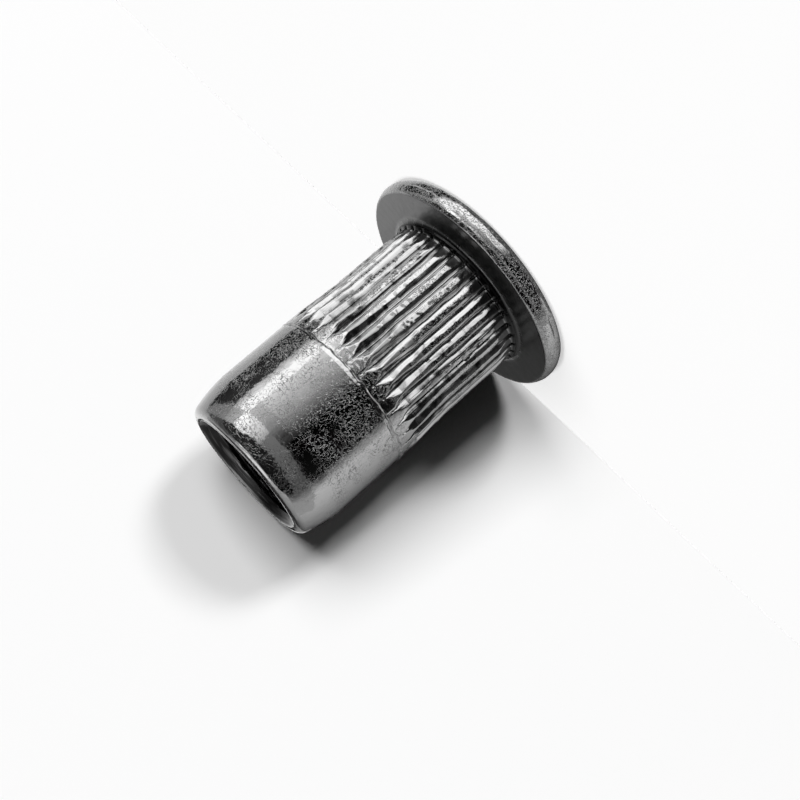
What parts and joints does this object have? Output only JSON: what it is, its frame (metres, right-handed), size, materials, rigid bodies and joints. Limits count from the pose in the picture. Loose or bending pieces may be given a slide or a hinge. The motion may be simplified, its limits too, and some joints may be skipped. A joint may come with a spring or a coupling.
{
  "type": "rivet nut",
  "caption": "Flat-head rivet nut with a straight-knurled shank and an open end: a plated steel sleeve with an internal thread, set in sheet metal from one side.",
  "frame": {"origin": "middle of the head's flat outer face, on the axis: the nut stands on its head", "axes": "+Z along the axis, from the head to the open end; X and Y are across it, with a groove of the knurl at -Y"},
  "size_m": [0.0159, 0.0158, 0.0194],
  "materials": {
    "zinc_plated_steel": "bright zinc plate over cold-formed steel, finely pitted"
  },
  "bodies": {
    "root": {"rivet_nut": "zinc_plated_steel"}
  },
  "joints": []
}
